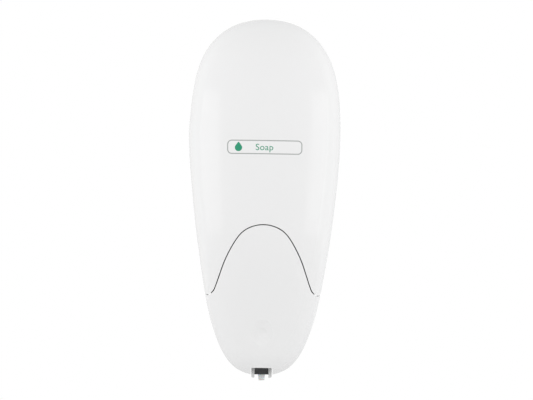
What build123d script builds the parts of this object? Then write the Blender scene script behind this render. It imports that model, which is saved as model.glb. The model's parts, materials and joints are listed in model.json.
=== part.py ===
from build123d import *
import os
from math import atan2, cos, hypot, pi, sin, sqrt

# Wall mounted soap dispenser with a press panel.
# Frame: origin on the wall at the middle of the body, +Z up, +X right, the front faces -Y.
# "depth" is the distance out from the wall, so a point at depth d has y = -d. Millimetres.

os.makedirs("parts", exist_ok=True)

# ---------------------------------------------------------------- driving dimensions
WIDTH = 125.0                # widest part of the body
HEIGHT = 291.0               # body from top to bottom
DEPTH = 115.5                # deepest point of the front, from the wall
WALL = 2.5                   # moulded wall of cover and panel
RIM_RADIUS = 24.0            # round between the front and the sides
DRAFT = 0.03                 # how much the sides lean in per millimetre of depth
SEAM_GAP = 0.8               # gap between cover and press panel
REAR_GAP = 1.0               # cover's rear edge to the wall
PART_CLEARANCE = 0.5         # between pieces that move past each other
RUNNING_CLEARANCE = 0.05     # radial, pin in a bearing

PLATE_THICK = 3.0            # back plate
PLATE_RIM_DEPTH = 7.5        # how far its rim stands off the wall
PLATE_RIM_WALL = 2.0
PLATE_GAP = 2.0              # back plate rim inside the cover's wall
BOTTOM_GAP = 3.3             # extra room at the bottom, where the pressed panel rises
MOUNT_SPACING_X = 60.0
MOUNT_SPACING_Z = 180.0
MOUNT_HOLE_D = 5.0
POCKET_DEPTH = 1.0           # lightening pocket in the plate's rear face

HINGE_DEPTH = 9.0            # cover hinge axis
HINGE_Z = -HEIGHT / 2 + 7.3
HINGE_PIN_D = 4.0
HINGE_EYE_R = 3.6
EAR_INNER = 10.0             # back plate ears, half spans in x
EAR_OUTER = 14.5
EYE_GAP = 0.9
EYE_WIDTH = 5.0

SEAM_PEAK_Z = -21.8          # top of the bell-shaped seam
SEAM_DROP = 57.0             # peak to the horizontal part
SEAM_HALF = 44.0             # half width where the seam turns horizontal
DIMPLE_Z = -108.0
DIMPLE_D = 22.0
DIMPLE_DEPTH = 1.3
DIMPLE_HEART_D = 12.0
DIMPLE_HEART_DEPTH = 0.6

LABEL_Z = 40.0
LABEL_LENGTH = 64.0
LABEL_HEIGHT = 15.0
LABEL_CORNER = 4.5
LABEL_THICK = 0.2

SKIRT_DEPTHS = (10.0, 32.0)  # inner frame, from and to
SKIRT_GAP = 2.2              # inner frame inside the cover's wall
SKIRT_WALL = 2.0
FRAME_TOP_Z = 0.0
BRIDGE_DEPTH = 14.0          # rear face of the frame's bottom bridge

PANEL_PIVOT_DEPTH = 45.0
PANEL_PIVOT_Z = -12.0
PIVOT_PIN_D = 5.0
PIVOT_ARM_X = (45.5, 50.5)   # panel arm at the pivot
CHEEK_X = (51.0, 52.6)       # inner frame cheek beside it

PUMP_DEPTH = 55.0            # pump axis
STEM_D = 9.0
CYLINDER_D = 22.0
CYLINDER_BORE = 18.0
CYLINDER_Z = (-109.0, -75.0)
CYLINDER_END = 3.0
COLLAR_D = 34.0
COLLAR_Z = (-75.0, -58.0)
NECK_D = 26.0
FLANGE_D = 18.0
FLANGE_Z = (-122.0, -119.5)
NOZZLE_D = 8.5
NOZZLE_TIP_D = 4.6
NOZZLE_Z = (-148.0, -124.0)
PISTON_Z = (-96.0, -92.0)

LEVER_DEPTH = 30.0           # bell crank pivot
LEVER_Z = -118.0
LEVER_PIN_D = 5.0
CRANK_RISE = 26.0            # pivot to where the panel pushes
LIP_R = 2.0
LIP_GAP = 0.3
CRANK_HALF = 4.0
RIB_X = (17.0, 19.0)         # presser ribs of the panel yoke
FORK_X = (12.0, 15.5)
CRANK_X = (14.0, 19.0)
BRACKET_X = (20.0, 23.0)
SHELF_THICK = 4.0
SHROUD_HALF = 8.2            # white surround of the nozzle
SHROUD_OPENING = 5.65
SHROUD_DEPTHS = (60.5, 63.0)
SHROUD_TOP_Z = -137.5
NOTCH_CLEARANCE = 0.65
GUARD_THICK = 0.8            # drip guard behind the surround
GUARD_HALF = 7.0

LOCK_DEPTH = 35.0
LOCK_FLANGE_D = 21.0
LOCK_SLEEVE_D = 18.0
LOCK_PLUG_D = 12.0
LOCK_TOP_Z = 144.8
CAM_Z = 122.0
CAM_REACH = 24.0
CAM_THICK = 2.0
KEEPER_DEPTHS = (15.0, 18.0)

SCREW_SHANK_D = 3.0
NOTCH_HALF = SHROUD_HALF + NOTCH_CLEARANCE
NOTCH_TOP_Z = SHROUD_TOP_Z + 0.9
BOTTOM_Z = -HEIGHT / 2


EGG_SPANS = 8                # curve spans in each half of the outline
OUTWARD = (0, -1, 0)         # away from the wall


# ---------------------------------------------------------------- shared shapes
def egg_heading(t):
    """Rate of change of the front outline at angle t, across and up."""
    across = -0.9884 * sin(t) + 0.2244 * cos(2 * t) + 0.1035 * sin(3 * t) + 0.0596 * cos(4 * t)
    up = 1.0605 * cos(t) - 0.0190 * sin(2 * t) + 0.1815 * cos(3 * t) - 0.0232 * sin(4 * t)
    return (WIDTH / 2 * across, HEIGHT / 2 * up)


def egg_point(t, inset):
    """A point of the front outline at angle t, drawn in by inset along its normal."""
    across = 0.9884 * cos(t) + 0.1122 * sin(2 * t) - 0.0345 * cos(3 * t) + 0.0149 * sin(4 * t)
    up = 0.0037 + 1.0605 * sin(t) + 0.0095 * cos(2 * t) + 0.0605 * sin(3 * t) + 0.0058 * cos(4 * t)
    dx, dz = egg_heading(t)
    run = hypot(dx, dz)
    return (WIDTH / 2 * across - inset * dz / run, HEIGHT / 2 * up + inset * dx / run)


def half_width(z, inset):
    """Half width of the outline, drawn in by inset, at height z."""
    low, high = -pi / 2, pi / 2
    for _ in range(40):
        middle = (low + high) / 2
        if egg_point(middle, inset)[1] < z:
            low = middle
        else:
            high = middle
    return egg_point(low, inset)[0]


def egg_face(inset, depth, bottom_extra=0.0):
    """The egg outline as a face at a depth; bottom_extra draws the bottom in further."""
    with BuildSketch(Plane.XZ.offset(depth)) as face:
        with BuildLine():
            for start in (0, pi):
                points = []
                for i in range(EGG_SPANS + 1):
                    t = start + pi * i / EGG_SPANS
                    points.append(egg_point(t, inset + bottom_extra * ((1 - sin(t)) / 2) ** 4))
                Spline(*points, tangents=[egg_heading(start), egg_heading(start + pi)])
        make_face()
    return face


def egg_slab(inset, near, far, bottom_extra=0.0):
    """A slab with the egg outline between two depths."""
    with BuildPart() as slab:
        add(egg_face(inset, near, bottom_extra).sketch)
        extrude(amount=far - near, dir=OUTWARD)
    return slab


def egg_plug(inset):
    """The drafted egg, long enough to pass the front."""
    with BuildPart() as plug:
        add(egg_face(inset, 0).sketch)
        add(egg_face(inset + DRAFT * (DEPTH + 25), DEPTH + 25).sketch)
        loft()
    return plug


# Heights as shares of the half height, then half width, depth and crown drop of the domed front.
CROWN = ((-1.10, 52, 0.693, 34), (-0.69, 60, 0.805, 38), (-0.21, 70, 0.926, 42), (0.21, 76, 0.987, 44),
         (0.52, 76, 1.0, 44), (0.76, 72, 0.935, 42), (0.93, 66, 0.797, 40), (1.03, 62, 0.658, 38))


def crown_block(inset):
    """The domed front, as a tall block that is wider than the body."""
    with BuildPart() as block:
        for share, half, reach, drop in CROWN:
            wide = half * WIDTH / 125
            front = DEPTH * reach - inset
            with BuildSketch(Plane.XY.offset(share * HEIGHT / 2)):
                with BuildLine():
                    ThreePointArc((-wide, drop - front), (0, -front), (wide, drop - front))
                    Polyline((wide, drop - front), (wide, 10), (-wide, 10), (-wide, drop - front))
                make_face()
        loft()
    return block


def body_form(inset):
    """The whole body as a solid, drawn in by inset."""
    with BuildPart() as form:
        add(crown_block(inset).part)
        add(egg_plug(inset).part, mode=Mode.INTERSECT)
        rim = form.edges().filter_by(lambda e: e.bounding_box().max.Y < -20)
        fillet(rim, RIM_RADIUS - inset)
    return form


# The bell-shaped seam from its peak out to the right, as shares of its half width and its drop.
BELL = ((0.0, 0.0), (0.20, 0.027), (0.36, 0.095), (0.50, 0.225), (0.60, 0.36), (0.69, 0.51), (0.76, 0.66),
        (0.82, 0.80), (0.862, 0.89), (0.905, 0.95), (0.95, 0.985), (1.0, 1.0))


def bell_face(grow):
    """The region below the seam, grown outwards by grow, as seen from the front."""
    right = [(SEAM_HALF * across, SEAM_PEAK_Z - SEAM_DROP * down) for across, down in BELL]
    grown = [(0.0, SEAM_PEAK_Z + grow)]
    for before, point, after in zip(right, right[1:], right[2:]):
        run = hypot(after[0] - before[0], after[1] - before[1])
        grown.append((point[0] + grow * (before[1] - after[1]) / run,
                      point[1] + grow * (after[0] - before[0]) / run))
    grown.append((SEAM_HALF + grow, SEAM_PEAK_Z - SEAM_DROP + grow))
    level = grown[-1][1]
    with BuildSketch(Plane.XZ) as region:
        with BuildLine():
            for side in (-1, 1):
                Spline(*[(side * x, z) for x, z in grown], tangents=[(side, 0), (side, 0)])
            Polyline(grown[-1], (WIDTH, level), (WIDTH, -HEIGHT), (-WIDTH, -HEIGHT), (-WIDTH, level),
                     (-grown[-1][0], level))
        make_face()
    return region


def tube(outer, inner, low, high, depth=PUMP_DEPTH):
    """A round ring about a vertical axis on the middle plane."""
    with BuildPart() as ring:
        with BuildSketch(Plane.XY.offset(low)):
            with Locations((0, -depth)):
                Circle(outer / 2)
                if inner:
                    Circle(inner / 2, mode=Mode.SUBTRACT)
        extrude(amount=high - low)
    return ring


def slab(x0, x1, d0, d1, z0, z1, sides=(1,)):
    """A block between two x, two depths and two heights; sides=(-1, 1) makes it on both sides."""
    with BuildPart(mode=Mode.PRIVATE) as block:
        with Locations(*[(side * (x0 + x1) / 2, -(d0 + d1) / 2, (z0 + z1) / 2) for side in sides]):
            Box(x1 - x0, d1 - d0, z1 - z0)
    return block


def rod(radius, depth, z, x0, x1, sides=(1,)):
    """A round bar along x at a depth and a height."""
    with BuildPart(mode=Mode.PRIVATE) as bar:
        for side in sides:
            low, high = sorted((side * x0, side * x1))
            with BuildSketch(Plane.YZ.offset(low)):
                with Locations((-depth, z)):
                    Circle(radius)
            extrude(amount=high - low)
    return bar


def screws(spots, depth, head_d, head_h, shank_d, shank_l, out=1):
    """Pan head screws along depth; heads bear at depth, and stand out from the wall or, with -1, to it."""
    with BuildPart() as group:
        with BuildSketch(Plane.XZ.offset(depth)):
            with Locations(*spots):
                Circle(head_d / 2)
        extrude(amount=out * head_h)
        crown = group.faces().filter_by(Axis.Y).group_by(Axis.Y)[0 if out > 0 else -1]
        fillet(crown.edges(), head_h * 0.3)
        with BuildSketch(Plane.XZ.offset(depth + out * head_h)):
            with Locations(*spots):
                Rectangle(head_d * 0.62, head_d * 0.14)
                Rectangle(head_d * 0.14, head_d * 0.62)
        extrude(amount=-out * head_h * 0.5, mode=Mode.SUBTRACT)
        with BuildSketch(Plane.XZ.offset(depth)):
            with Locations(*spots):
                Circle(shank_d / 2)
        extrude(amount=-out * shank_l)
    return group


BOTH = (-1, 1)
OUTER = body_form(0)
INNER = body_form(WALL)



def front_depth(z):
    """Depth of the front surface on the middle plane at height z."""
    ray = Edge.make_line((0, -PUMP_DEPTH, z), (0, -2 * DEPTH, z))
    return -min(v.Y for v in OUTER.part.intersect(ray).vertices())


DIMPLE_FRONT = front_depth(DIMPLE_Z)
DIMPLE_LEAN = atan2(front_depth(DIMPLE_Z + 5) - front_depth(DIMPLE_Z - 5), 10)

# ---------------------------------------------------------------- cover and press panel
FRAME_SCREW_ZS = (-34.0, -62.0)
FRAME_BOSS_R = 4.6
BOSS_INSET = WALL + 4.2
LUG_R = 3.4
FRAME_FLANGE = 3.0
LOCK_BOSS_R = LOCK_FLANGE_D / 2 + 3
LOCK_SEAT = 4.0
LOCK_FLANGE_Z = LOCK_TOP_Z - 2.6
FRAME_SCREW_SPOTS = [(side * (half_width(z, BOSS_INSET)), z) for z in FRAME_SCREW_ZS for side in BOTH]

with BuildPart() as front_cover:
    add(OUTER.part)
    add(INNER.part, mode=Mode.SUBTRACT)
    # A hole in the top wall, and under it a thickened seat for the lock.
    add(tube(LOCK_FLANGE_D, 0, LOCK_FLANGE_Z - 8, LOCK_FLANGE_Z + 8, LOCK_DEPTH).part, mode=Mode.SUBTRACT)
    add(tube(2 * LOCK_BOSS_R, LOCK_SLEEVE_D, LOCK_FLANGE_Z - LOCK_SEAT, LOCK_FLANGE_Z, LOCK_DEPTH).part)
    # Bosses for the frame screws, run into the side walls.
    with BuildSketch(Plane.XZ.offset(SKIRT_DEPTHS[0] + FRAME_FLANGE)):
        with Locations(*FRAME_SCREW_SPOTS):
            Circle(FRAME_BOSS_R)
    extrude(amount=16)
    with BuildSketch(Plane.XZ.offset(SKIRT_DEPTHS[0])):
        with Locations(*FRAME_SCREW_SPOTS):
            Circle(SCREW_SHANK_D / 2)
    extrude(amount=FRAME_FLANGE + 12, mode=Mode.SUBTRACT)
    # The bell opening, with the seam gap.
    with BuildSketch(Plane.XZ):
        add(bell_face(SEAM_GAP).sketch)
    extrude(amount=DEPTH + 10, mode=Mode.SUBTRACT)
    with BuildSketch(Plane.XZ):
        Rectangle(WIDTH * 2, HEIGHT * 2)
    extrude(amount=REAR_GAP, mode=Mode.SUBTRACT)
front_cover.part.label = "front_cover"
export_step(front_cover.part, "parts/front_cover.step")

# The panel's rear edge leans forward towards the bottom, to clear the wall as the cover opens.
PANEL_REAR = (12.0, 27.0)    # depth of the rear edge at the seam and at the bottom
PANEL_EDGE_SLOPE = 3.8       # its side edge falls this much to the rear, because it rises when pressed
SEAM_SIDE_Z = SEAM_PEAK_Z - SEAM_DROP
BAR_Z = (-97.0, -86.0)       # cross bar of the yoke
BAR_DEPTHS = (75.0, 78.0)
BOSS_X = 24.0
BOSS_Z = -91.5

with BuildPart() as press_panel:
    add(OUTER.part)
    add(INNER.part, mode=Mode.SUBTRACT)
    with BuildPart(mode=Mode.PRIVATE) as panel_region:
        with BuildSketch(Plane.XZ):
            add(bell_face(0).sketch)
        extrude(amount=DEPTH + 10)
    add(panel_region.part, mode=Mode.INTERSECT)
    with BuildSketch(Plane.YZ.offset(-WIDTH)):
        with BuildLine():
            Polyline((10, SEAM_SIDE_Z + 20), (-PANEL_REAR[0], SEAM_SIDE_Z + 20), (-PANEL_REAR[0], SEAM_SIDE_Z),
                     (-PANEL_REAR[1], BOTTOM_Z), (-PANEL_REAR[1], BOTTOM_Z - 20), (10, BOTTOM_Z - 20),
                     (10, SEAM_SIDE_Z + 20))
        make_face()
        with BuildLine():
            Polyline((0, SEAM_SIDE_Z + 1), (-PANEL_PIVOT_DEPTH, SEAM_SIDE_Z + 1),
                     (-PANEL_PIVOT_DEPTH, SEAM_SIDE_Z), (0, SEAM_SIDE_Z - PANEL_EDGE_SLOPE * 1.3),
                     (0, SEAM_SIDE_Z + 1))
        make_face()
    extrude(amount=2 * WIDTH, mode=Mode.SUBTRACT)
    # Notch in the lower front edge, open to the rear for the nozzle and its shroud.
    with BuildSketch(Plane.XZ):
        with Locations((0, (NOTCH_TOP_Z + BOTTOM_Z - 10) / 2)):
            RectangleRounded(2 * NOTCH_HALF, NOTCH_TOP_Z - BOTTOM_Z + 10, 2.2)
    extrude(amount=DEPTH, mode=Mode.SUBTRACT)
    # Shallow round dimple where the hand presses, with a deeper heart.
    for width, deep in ((DIMPLE_D, DIMPLE_DEPTH), (DIMPLE_HEART_D, DIMPLE_DEPTH + DIMPLE_HEART_DEPTH)):
        radius = ((width / 2) ** 2 + deep ** 2) / (2 * deep)
        with Locations((0, -(DIMPLE_FRONT + (radius - deep) * cos(DIMPLE_LEAN)),
                        DIMPLE_Z - (radius - deep) * sin(DIMPLE_LEAN))):
            Sphere(radius, mode=Mode.SUBTRACT)
    # Bosses for the yoke screws, up from the inside of the front.
    with BuildPart(mode=Mode.PRIVATE) as yoke_bosses:
        with BuildSketch(Plane.XZ.offset(BAR_DEPTHS[1])):
            with Locations((-BOSS_X, BOSS_Z), (BOSS_X, BOSS_Z)):
                Circle(3.5)
        extrude(amount=30)
        add(OUTER.part, mode=Mode.INTERSECT)
    add(yoke_bosses.part)
    with BuildSketch(Plane.XZ.offset(BAR_DEPTHS[0])):
        with Locations((-BOSS_X, BOSS_Z), (BOSS_X, BOSS_Z)):
            Circle(1.5)
    extrude(amount=9, mode=Mode.SUBTRACT)
press_panel.part.label = "press_panel"
export_step(press_panel.part, "parts/press_panel.step")

# ---------------------------------------------------------------- label band
with BuildPart() as label_film:
    add(crown_block(-LABEL_THICK).part)
    add(crown_block(0).part, mode=Mode.SUBTRACT)
    with BuildPart(mode=Mode.PRIVATE) as label_prism:
        with BuildSketch(Plane.XZ.offset(PUMP_DEPTH)):
            with Locations((0, LABEL_Z)):
                RectangleRounded(LABEL_LENGTH, LABEL_HEIGHT, LABEL_CORNER)
        extrude(amount=DEPTH)
    add(label_prism.part, mode=Mode.INTERSECT)
label_film.part.label = "label_film"
export_step(label_film.part, "parts/label_film.step")

# ---------------------------------------------------------------- back plate
PLATE_INSET = WALL + PLATE_GAP
EAR_TOP_Z = HINGE_Z + 11
CLEAR_X = BRACKET_X[1] + 1.5
HOLE_SPOTS = [(sx * MOUNT_SPACING_X / 2, sz * MOUNT_SPACING_Z / 2) for sx in BOTH for sz in BOTH]
PEG_Z = 113.0
PEG_R = 3.0
POUCH_TAB_DEPTHS = (15.0, 17.0)
LAND = 7.0
BRACKET_SCREW_SPOTS = [(side * 15.0, z) for side in BOTH for z in (-88.0, -121.0)]
KEEPER_SCREW_SPOTS = [(-11.0, 130.0), (11.0, 130.0)]

with BuildPart() as back_plate:
    add(egg_slab(PLATE_INSET, 0, PLATE_THICK, BOTTOM_GAP).part)
    with BuildPart(mode=Mode.PRIVATE) as plate_rim:
        add(egg_slab(PLATE_INSET, PLATE_THICK, PLATE_RIM_DEPTH, BOTTOM_GAP).part)
        add(egg_slab(PLATE_INSET + PLATE_RIM_WALL, PLATE_THICK, PLATE_RIM_DEPTH, BOTTOM_GAP).part,
            mode=Mode.SUBTRACT)
        add(slab(-CLEAR_X, CLEAR_X, PLATE_THICK, PLATE_RIM_DEPTH, BOTTOM_Z, BOTTOM_Z / 2).part,
            mode=Mode.SUBTRACT)
    add(plate_rim.part)
    # Stiffening ribs, clear of the mounting holes.
    for x in (-46.0, 46.0):
        add(slab(x - 1, x + 1, PLATE_THICK, PLATE_RIM_DEPTH - 2, -60.0, 70.0).part)
    for z in (-50.0, 98.0):
        add(slab(-47, 47, PLATE_THICK, PLATE_RIM_DEPTH - 2, z - 1, z + 1).part)
    # Bosses round the mounting holes.
    with BuildSketch(Plane.XZ.offset(PLATE_THICK)):
        with Locations(*HOLE_SPOTS):
            Circle(MOUNT_HOLE_D)
    extrude(amount=1.5)
    # Lightening pocket in the rear face, with lands round the holes and the screws.
    with BuildSketch(Plane.XZ):
        add(egg_face(PLATE_INSET + LAND, 0, BOTTOM_GAP).sketch)
        with Locations(*HOLE_SPOTS):
            Circle(9.0, mode=Mode.SUBTRACT)
        with Locations(*BRACKET_SCREW_SPOTS, *KEEPER_SCREW_SPOTS):
            Circle(5.0, mode=Mode.SUBTRACT)
        Rectangle(5, HEIGHT, mode=Mode.SUBTRACT)
        Rectangle(WIDTH, 5, mode=Mode.SUBTRACT)
    extrude(amount=POCKET_DEPTH, mode=Mode.SUBTRACT)
    with BuildSketch(Plane.XZ):
        with Locations(*HOLE_SPOTS):
            Circle(MOUNT_HOLE_D / 2)
        with Locations(*BRACKET_SCREW_SPOTS, *KEEPER_SCREW_SPOTS):
            Circle(SCREW_SHANK_D / 2)
    extrude(amount=PLATE_RIM_DEPTH, mode=Mode.SUBTRACT)
    # Ears for the cover's hinge pin.
    for side in BOTH:
        low, high = sorted((side * EAR_INNER, side * EAR_OUTER))
        with BuildSketch(Plane.YZ.offset(low)):
            with Locations((-HINGE_DEPTH, HINGE_Z)):
                Circle(HINGE_EYE_R)
            with BuildLine():
                Polyline((-PLATE_THICK + 1, EAR_TOP_Z), (-PLATE_THICK - 1, EAR_TOP_Z),
                         (-HINGE_DEPTH - HINGE_EYE_R, HINGE_Z), (-HINGE_DEPTH, HINGE_Z - HINGE_EYE_R),
                         (-PLATE_THICK + 1, HINGE_Z - 1), (-PLATE_THICK + 1, EAR_TOP_Z))
            make_face()
            with Locations((-HINGE_DEPTH, HINGE_Z)):
                Circle(HINGE_PIN_D / 2, mode=Mode.SUBTRACT)
        extrude(amount=high - low)
    # Peg that the pouch hangs on.
    with BuildSketch(Plane.XZ.offset(PLATE_THICK)):
        with Locations((0, PEG_Z)):
            Circle(PEG_R)
    extrude(amount=POUCH_TAB_DEPTHS[1] + 2 - PLATE_THICK)
back_plate.part.label = "back_plate"
export_step(back_plate.part, "parts/back_plate.step")

HINGE_PIN_HALF = EAR_OUTER + EYE_GAP + EYE_WIDTH + 0.5
with BuildPart() as hinge_pin:
    add(rod(HINGE_PIN_D / 2, HINGE_DEPTH, HINGE_Z, -HINGE_PIN_HALF, HINGE_PIN_HALF).part)
    chamfer(hinge_pin.faces().filter_by(Axis.X).edges(), 0.4)
hinge_pin.part.label = "hinge_pin"
export_step(hinge_pin.part, "parts/hinge_pin.step")

# ---------------------------------------------------------------- pump bracket
SHELF_Z = COLLAR_Z[0]
STRIP_Z = (-134.5, -132.5)
GUARD_Z = (-143.0, -134.6)
WALL_BOTTOM_Z = -127.0
SIDE_BOTTOM_Z = -123.5
CYLINDER_SLOT_R = CYLINDER_D / 2 + PART_CLEARANCE
NOZZLE_HOLE_R = NOZZLE_D / 2 + 1.0
BRACKET_WALL = 3.0
BRACKET_REACH = 40.0
SHELF_REACH = PUMP_DEPTH + COLLAR_D / 2

with BuildPart() as pump_bracket:
    add(slab(-BRACKET_X[1], BRACKET_X[1], PLATE_THICK, PLATE_THICK + BRACKET_WALL, WALL_BOTTOM_Z,
             SHELF_Z).part)
    add(slab(-BRACKET_X[1], BRACKET_X[1], PLATE_THICK, SHELF_REACH, SHELF_Z - SHELF_THICK, SHELF_Z).part)
    fillet(pump_bracket.edges().filter_by(Axis.Z).group_by(Axis.Y)[0], 8)
    add(slab(*BRACKET_X, PLATE_THICK, BRACKET_REACH, SIDE_BOTTOM_Z, SHELF_Z, BOTH).part)
    # Strip under the pump, with the hole that the nozzle rises through.
    add(slab(-SHROUD_HALF, SHROUD_HALF, PLATE_THICK, SHROUD_DEPTHS[1], *STRIP_Z).part)
    add(slab(-SHROUD_HALF, SHROUD_HALF, PLATE_THICK, PLATE_THICK + BRACKET_WALL, STRIP_Z[0],
             WALL_BOTTOM_Z).part)
    add(slab(SHROUD_HALF - 2, SHROUD_HALF, PLATE_THICK, SHROUD_DEPTHS[1], STRIP_Z[1], STRIP_Z[1] + 2,
             BOTH).part)
    with BuildSketch(Plane.XY.offset(SHELF_Z)):
        with Locations((0, -PUMP_DEPTH)):
            Circle(CYLINDER_SLOT_R)
        with Locations((0, -PUMP_DEPTH - COLLAR_D / 2)):
            Rectangle(2 * CYLINDER_SLOT_R, COLLAR_D)
    extrude(amount=-SHELF_THICK, mode=Mode.SUBTRACT)
    with BuildSketch(Plane.XY.offset(STRIP_Z[0])):
        with Locations((0, -PUMP_DEPTH)):
            Circle(NOZZLE_HOLE_R)
    extrude(amount=4, mode=Mode.SUBTRACT)
    # White surround that shows in the notch.
    with BuildSketch(Plane.XZ.offset(SHROUD_DEPTHS[0])):
        with Locations((0, (STRIP_Z[1] + BOTTOM_Z) / 2)):
            RectangleRounded(2 * SHROUD_HALF, STRIP_Z[1] - BOTTOM_Z, 1.2)
        with Locations((0, (SHROUD_TOP_Z + BOTTOM_Z - 10) / 2)):
            RectangleRounded(2 * SHROUD_OPENING, SHROUD_TOP_Z - BOTTOM_Z + 10, 1.4, mode=Mode.SUBTRACT)
    extrude(amount=SHROUD_DEPTHS[1] - SHROUD_DEPTHS[0])
    with BuildSketch(Plane.YZ.offset(-BRACKET_X[1])):
        with Locations((-LEVER_DEPTH, LEVER_Z)):
            Circle(LEVER_PIN_D / 2)
    extrude(amount=2 * BRACKET_X[1], mode=Mode.SUBTRACT)
    with BuildSketch(Plane.XZ.offset(PLATE_THICK)):
        with Locations(*BRACKET_SCREW_SPOTS):
            Circle(SCREW_SHANK_D / 2)
    extrude(amount=BRACKET_WALL, mode=Mode.SUBTRACT)
pump_bracket.part.label = "pump_bracket"
export_step(pump_bracket.part, "parts/pump_bracket.step")

# Rubber drip guard behind the surround, in front of the nozzle.
with BuildPart() as drip_guard:
    with BuildSketch(Plane.XZ.offset(SHROUD_DEPTHS[0] - GUARD_THICK)):
        with Locations((0, (GUARD_Z[0] + GUARD_Z[1]) / 2)):
            RectangleRounded(2 * GUARD_HALF, GUARD_Z[1] - GUARD_Z[0], 1.0)
    extrude(amount=GUARD_THICK)
drip_guard.part.label = "drip_guard"
export_step(drip_guard.part, "parts/drip_guard.step")

bracket_screws = screws(BRACKET_SCREW_SPOTS, PLATE_THICK + BRACKET_WALL, 6.0, 2.2, SCREW_SHANK_D,
                        PLATE_THICK + BRACKET_WALL - 0.5)
bracket_screws.part.label = "bracket_screws"
export_step(bracket_screws.part, "parts/bracket_screws.step")

with BuildPart() as lever_pin:
    add(rod(LEVER_PIN_D / 2, LEVER_DEPTH, LEVER_Z, -BRACKET_X[1] - 1, BRACKET_X[1] + 1).part)
    chamfer(lever_pin.faces().filter_by(Axis.X).edges(), 0.5)
lever_pin.part.label = "lever_pin"
export_step(lever_pin.part, "parts/lever_pin.step")

# ---------------------------------------------------------------- lock keeper
KEEPER_HALF = 5.0
KEEPER_SHELF_Z = (134.0, 136.0)
KEEPER_BASE = 2.0
with BuildPart() as lock_keeper:
    with BuildSketch(Plane.XZ.offset(PLATE_THICK)):
        with Locations((0, 131.0)):
            RectangleRounded(30, 10, 2.5)
        with Locations(*KEEPER_SCREW_SPOTS):
            Circle(SCREW_SHANK_D / 2, mode=Mode.SUBTRACT)
    extrude(amount=KEEPER_BASE)
    add(slab(-KEEPER_HALF, KEEPER_HALF, PLATE_THICK, KEEPER_DEPTHS[1], *KEEPER_SHELF_Z).part)
    add(slab(-KEEPER_HALF, KEEPER_HALF, *KEEPER_DEPTHS, CAM_Z + 2 * CAM_THICK, KEEPER_SHELF_Z[1]).part)
lock_keeper.part.label = "lock_keeper"
export_step(lock_keeper.part, "parts/lock_keeper.step")

keeper_screws = screws(KEEPER_SCREW_SPOTS, PLATE_THICK + KEEPER_BASE, 5.6, 2.0, SCREW_SHANK_D,
                       PLATE_THICK + KEEPER_BASE - 0.5)
keeper_screws.part.label = "keeper_screws"
export_step(keeper_screws.part, "parts/keeper_screws.step")

# ---------------------------------------------------------------- soap pouch and its spout
POUCH_BOTTOM_Z = -52.0
# Height, half width, and rear and front depth of the hanging bag.
POUCH = ((-52.0, 14.0, 41.0, 69.0), (-46.0, 24.0, 34.0, 76.0), (-32.0, 34.0, 25.0, 84.0),
         (-10.0, 40.0, 19.0, 92.0), (25.0, 44.0, 16.0, 97.0), (60.0, 43.0, 16.0, 94.0),
         (88.0, 36.0, 17.5, 76.0), (104.0, 27.0, 19.0, 46.0), (108.0, 22.0, 21.0, 34.0))
with BuildPart() as soap_pouch:
    for z, half, rear, front in POUCH:
        with BuildSketch(Plane.XY.offset(z)):
            with Locations((0, -(rear + front) / 2)):
                Ellipse(half, (front - rear) / 2)
    loft()
    with BuildSketch(Plane.XZ.offset(POUCH_TAB_DEPTHS[0])):
        with Locations((0, PEG_Z - 4)):
            RectangleRounded(26, 15, 4)
        with Locations((0, PEG_Z)):
            Circle(PEG_R, mode=Mode.SUBTRACT)
    extrude(amount=POUCH_TAB_DEPTHS[1] - POUCH_TAB_DEPTHS[0])
    add(slab(-11, 11, POUCH_TAB_DEPTHS[0], 26, 101.5, 106.5).part)
soap_pouch.part.label = "soap_pouch"
export_step(soap_pouch.part, "parts/soap_pouch.step")

COLLAR_FLOOR = 3.0
with BuildPart() as pouch_spout:
    add(tube(38, 16, POUCH_BOTTOM_Z - 2, POUCH_BOTTOM_Z).part)
    add(tube(NECK_D, 16, COLLAR_Z[0] + COLLAR_FLOOR, POUCH_BOTTOM_Z - 2).part)
pouch_spout.part.label = "pouch_spout"
export_step(pouch_spout.part, "parts/pouch_spout.step")

with BuildPart() as pump_collar:
    add(tube(COLLAR_D, NECK_D, *COLLAR_Z).part)
    add(tube(NECK_D, 12, COLLAR_Z[0], COLLAR_Z[0] + COLLAR_FLOOR).part)
    with Locations((0, -PUMP_DEPTH, 0)):
        with PolarLocations(COLLAR_D / 2, 30):
            with Locations((0, 0, (COLLAR_Z[0] + COLLAR_Z[1]) / 2)):
                Box(1.2, 1.2, COLLAR_Z[1] - COLLAR_Z[0] - 4, mode=Mode.SUBTRACT)
pump_collar.part.label = "pump_collar"
export_step(pump_collar.part, "parts/pump_collar.step")

INLET_D = 4.5
BALL_R = 3.0
with BuildPart() as pump_cylinder:
    add(tube(CYLINDER_D, CYLINDER_BORE, *CYLINDER_Z).part)
    add(tube(CYLINDER_BORE, STEM_D + 2 * RUNNING_CLEARANCE, CYLINDER_Z[0], CYLINDER_Z[0] + CYLINDER_END).part)
    add(tube(CYLINDER_BORE, INLET_D, CYLINDER_Z[1] - 2, CYLINDER_Z[1]).part)
pump_cylinder.part.label = "pump_cylinder"
export_step(pump_cylinder.part, "parts/pump_cylinder.step")

with BuildPart() as inlet_ball:
    with Locations((0, -PUMP_DEPTH, CYLINDER_Z[1] + sqrt(BALL_R ** 2 - (INLET_D / 2) ** 2))):
        Sphere(BALL_R)
inlet_ball.part.label = "inlet_ball"
export_step(inlet_ball.part, "parts/inlet_ball.step")

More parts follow.
